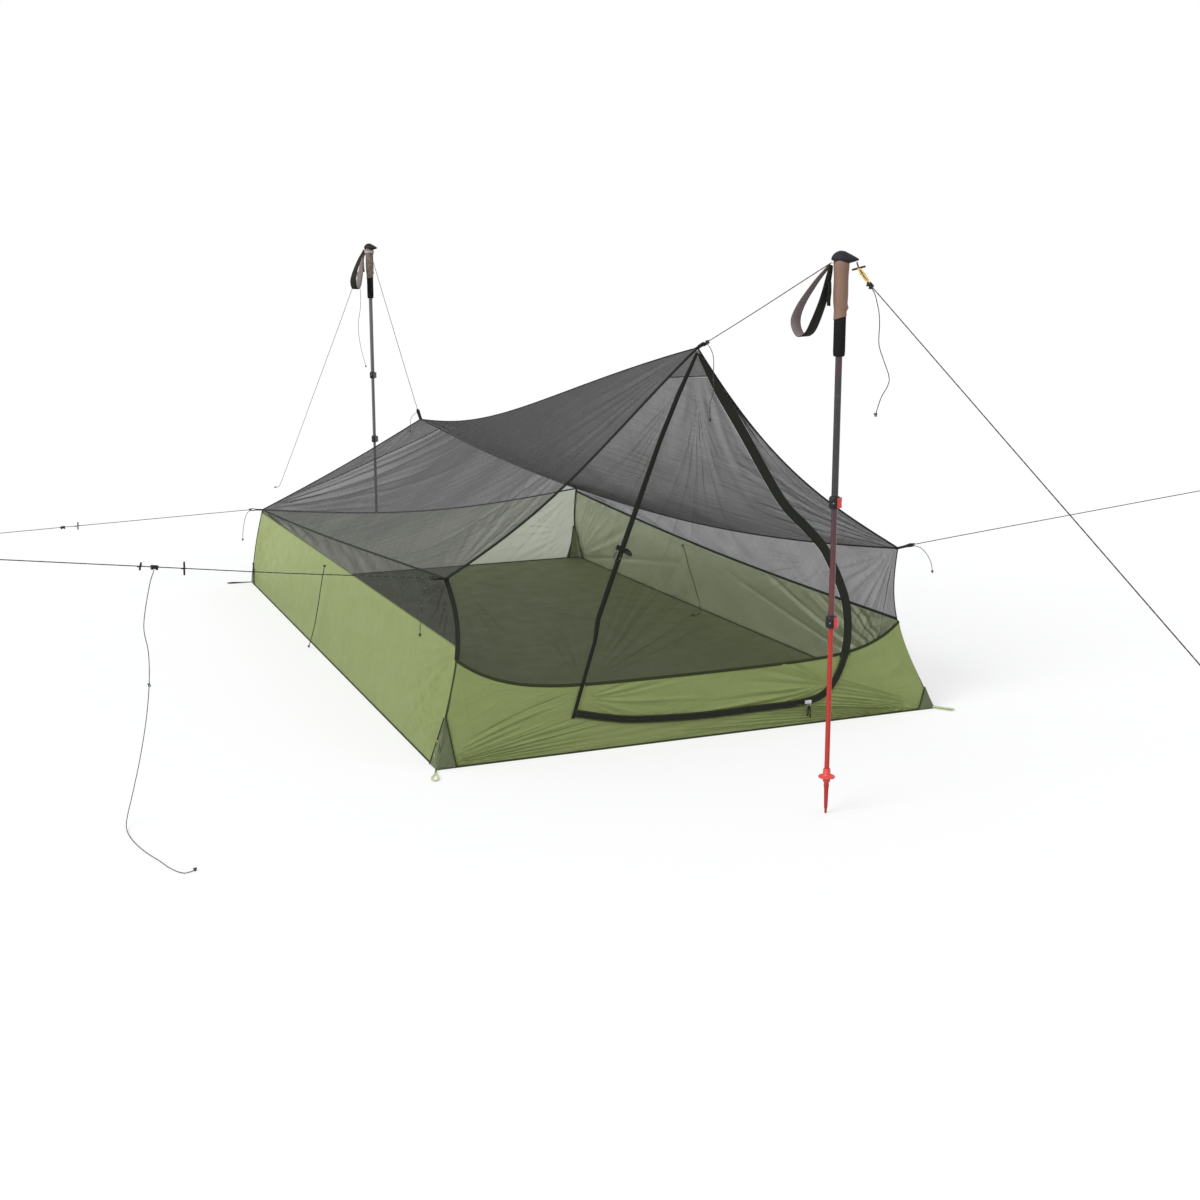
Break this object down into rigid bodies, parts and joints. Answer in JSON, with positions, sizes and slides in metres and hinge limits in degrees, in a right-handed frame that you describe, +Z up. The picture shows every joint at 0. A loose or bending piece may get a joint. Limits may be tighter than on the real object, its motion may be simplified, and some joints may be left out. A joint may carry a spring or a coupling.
{
  "type": "mesh bug shelter",
  "caption": "Netting shelter with a coated bathtub floor and a zipped door, hung on ridge cords between trekking poles and held out by guy lines.",
  "frame": {"origin": "on the ground, at the middle of the floor sheet's underside", "axes": "+X to the right of the door seen from outside in front, +Y from the door to the rear, +Z up"},
  "size_m": [3.3288, 6.5247, 1.2],
  "materials": {
    "olive_fabric": "matt coated ripstop, slightly translucent",
    "grey_netting": "fine insect netting",
    "dark_patch": "dense reinforcing cloth",
    "black_webbing": "woven tape",
    "grey_cord": "braided cord",
    "black_plastic": "moulded",
    "steel": "plated zip slider",
    "cork": "speckled cork",
    "black_foam": "closed-cell foam",
    "dark_tube": "anodised tube",
    "red_tube": "anodised tube",
    "red_lever": "moulded",
    "red_basket": "moulded"
  },
  "bodies": {
    "root": {"floor_sheet": "olive_fabric", "left_wall": "olive_fabric", "right_wall": "olive_fabric", "rear_wall": "olive_fabric", "front_sill": "olive_fabric", "left_wall_mesh": "grey_netting", "right_wall_mesh": "grey_netting", "roof_left_mesh": "grey_netting", "roof_right_mesh": "grey_netting", "rear_mesh": "grey_netting", "front_mesh_left": "grey_netting", "front_mesh_right": "grey_netting", "peak_gusset": "dark_patch", "zip_flap": "black_webbing", "front_left_corner_patch": "dark_patch", "front_right_corner_patch": "dark_patch", "rear_left_corner_patch": "dark_patch", "rear_right_corner_patch": "dark_patch", "front_left_tab": "black_webbing", "front_right_tab": "black_webbing", "rear_left_tab": "black_webbing", "rear_right_tab": "black_webbing", "peak_buckle": "black_plastic", "rear_peak_tab": "black_webbing", "front_pole_upper_tube": "dark_tube", "front_pole_grip": "cork", "front_pole_foam_sleeve": "black_foam", "rear_pole_upper_tube": "dark_tube", "rear_pole_grip": "cork", "rear_pole_foam_sleeve": "black_foam", "front_ridge_cord": "grey_cord", "rear_ridge_cord": "grey_cord", "front_guy": "grey_cord", "rear_guy": "grey_cord", "front_left_guy": "grey_cord", "front_right_guy": "grey_cord", "rear_left_guy": "grey_cord", "rear_pole_tail": "grey_cord", "left_tie_cord": "grey_cord", "right_tie_cord": "grey_cord"},
    "door": {"door_mesh": "grey_netting", "door_sill": "olive_fabric"},
    "zip_slider": {"zip_slider": "steel"},
    "front_mid_section": {"front_pole_mid_tube": "dark_tube"},
    "front_lower_section": {"front_pole_lower_tube": "red_tube", "front_pole_basket": "red_basket"},
    "front_upper_lever": {"front_pole_upper_lever": "red_lever"},
    "front_lower_lever": {"front_pole_lower_lever": "red_lever"},
    "front_wrist_strap": {"front_pole_wrist_strap": "black_webbing"},
    "rear_mid_section": {"rear_pole_mid_tube": "dark_tube"},
    "rear_lower_section": {"rear_pole_lower_tube": "dark_tube", "rear_pole_basket": "red_basket"},
    "rear_upper_lever": {"rear_pole_upper_lever": "red_lever"},
    "rear_lower_lever": {"rear_pole_lower_lever": "red_lever"},
    "rear_wrist_strap": {"rear_pole_wrist_strap": "black_webbing"},
    "front_line_lock": {"front_line_lock": "black_plastic", "front_guy_tail": "grey_cord"},
    "front_left_line_lock": {"front_left_line_lock": "black_plastic", "front_left_guy_tail": "grey_cord"},
    "rear_left_line_lock": {"rear_left_line_lock": "black_plastic"}
  },
  "joints": [
    {"name": "door_hinge", "type": "hinge", "parent": "root", "child": "door", "pos_m": [-0.338, -1.1832, 0.099], "axis": [-0.3641, -0.0334, -0.9308], "range_deg": [0, 55]},
    {"name": "zip_slide", "type": "slide", "parent": "door", "child": "zip_slider", "axis": [-1, 0, 0], "range_m": [0, 0.4]},
    {"name": "front_mid_slide", "type": "slide", "parent": "root", "child": "front_mid_section", "axis": [0, 0, 1], "range_m": [0, 0.205]},
    {"name": "front_lower_slide", "type": "slide", "parent": "front_mid_section", "child": "front_lower_section", "axis": [0, 0, 1], "range_m": [0, 0.29]},
    {"name": "front_upper_lever_hinge", "type": "hinge", "parent": "root", "child": "front_upper_lever", "pos_m": [-0.0019, -1.8253, 0.685], "axis": [0, 0, -1], "range_deg": [0, 100]},
    {"name": "front_lower_lever_hinge", "type": "hinge", "parent": "front_mid_section", "child": "front_lower_lever", "pos_m": [-0.0019, -1.8253, 0.428], "axis": [0, 0, -1], "range_deg": [0, 100]},
    {"name": "front_strap_swing", "type": "hinge", "parent": "root", "child": "front_wrist_strap", "pos_m": [-0.026, -1.802, 1.167], "axis": [0.9563, 0.2924, 0], "range_deg": [0, 60]},
    {"name": "rear_mid_slide", "type": "slide", "parent": "root", "child": "rear_mid_section", "axis": [0, 0, 1], "range_m": [0, 0.205]},
    {"name": "rear_lower_slide", "type": "slide", "parent": "rear_mid_section", "child": "rear_lower_section", "axis": [0, 0, 1], "range_m": [0, 0.29]},
    {"name": "rear_upper_lever_hinge", "type": "hinge", "parent": "root", "child": "rear_upper_lever", "pos_m": [-0.0019, 1.7947, 0.685], "axis": [0, 0, -1], "range_deg": [0, 100]},
    {"name": "rear_lower_lever_hinge", "type": "hinge", "parent": "rear_mid_section", "child": "rear_lower_lever", "pos_m": [-0.0019, 1.7947, 0.428], "axis": [0, 0, -1], "range_deg": [0, 100]},
    {"name": "rear_strap_swing", "type": "hinge", "parent": "root", "child": "rear_wrist_strap", "pos_m": [-0.026, 1.818, 1.167], "axis": [-0.7431, 0.6691, 0], "range_deg": [0, 60]},
    {"name": "front_line_lock_slide", "type": "slide", "parent": "root", "child": "front_line_lock", "axis": [-0.0182, -0.8809, -0.4729], "range_m": [0, 0.1]},
    {"name": "front_left_line_lock_slide", "type": "slide", "parent": "root", "child": "front_left_line_lock", "axis": [-0.9662, -0.2047, 0.1564], "range_m": [0, 0.05]},
    {"name": "rear_left_line_lock_slide", "type": "slide", "parent": "root", "child": "rear_left_line_lock", "axis": [-0.9637, 0.2566, -0.0743], "range_m": [0, 0.1]}
  ]
}
